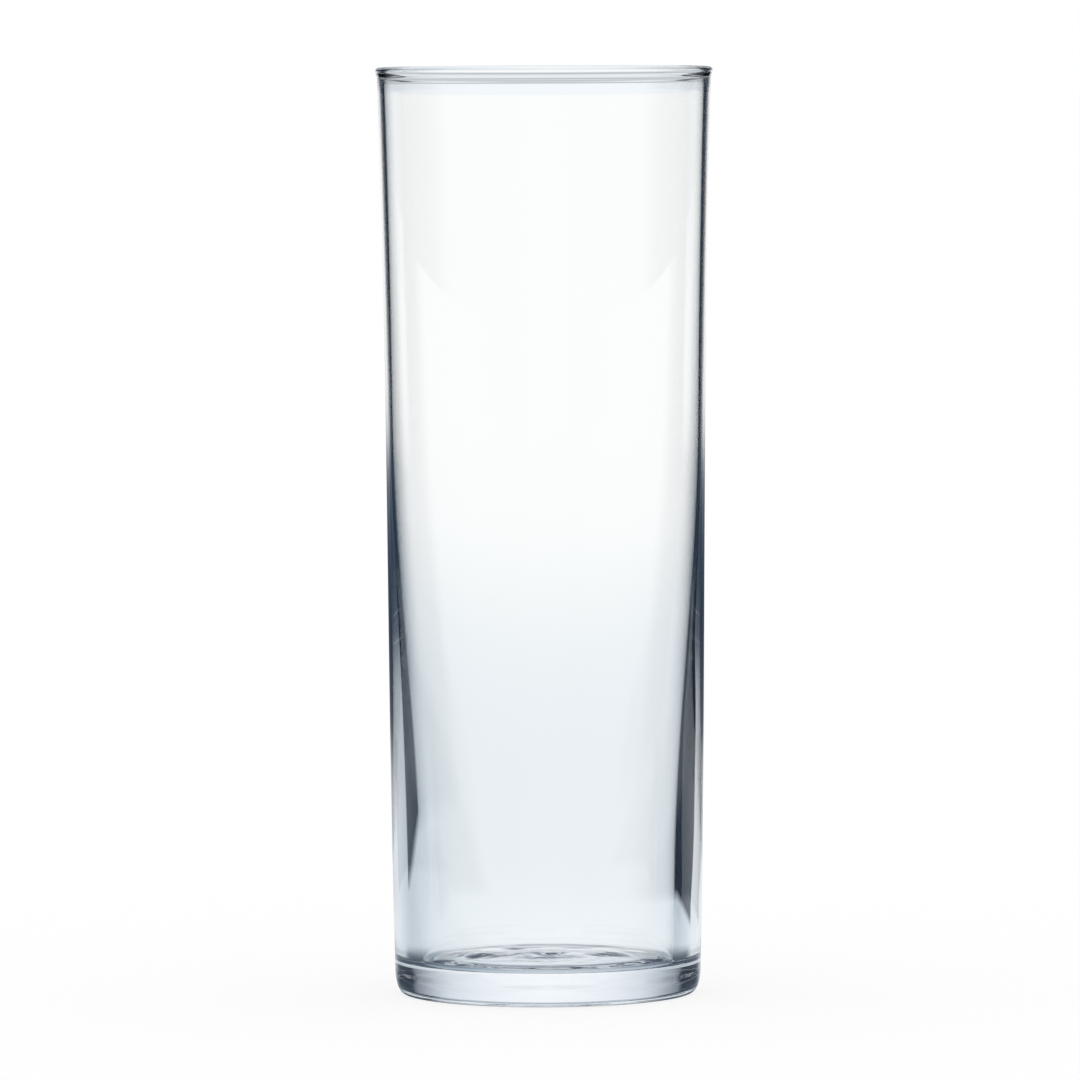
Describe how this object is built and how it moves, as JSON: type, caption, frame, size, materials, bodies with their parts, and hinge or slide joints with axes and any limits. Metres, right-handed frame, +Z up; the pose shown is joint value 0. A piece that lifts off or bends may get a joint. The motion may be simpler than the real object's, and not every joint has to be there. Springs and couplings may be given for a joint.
{
  "type": "highball glass",
  "caption": "Tall clear tumbler with a beaded lip, a side wall that thickens downwards and a heavy base on a flat standing ring.",
  "frame": {"origin": "centre of the standing ring, on the surface that the glass stands on", "axes": "+Z up along the axis of the glass, towards its mouth; it is round, so +X and +Y are equal"},
  "size_m": [0.0618, 0.0618, 0.17],
  "materials": {
    "glass": "clear polished soda-lime glass, fire-polished lip"
  },
  "bodies": {
    "root": {"rim_bead": "glass", "side_wall": "glass", "heavy_base": "glass"}
  },
  "joints": []
}
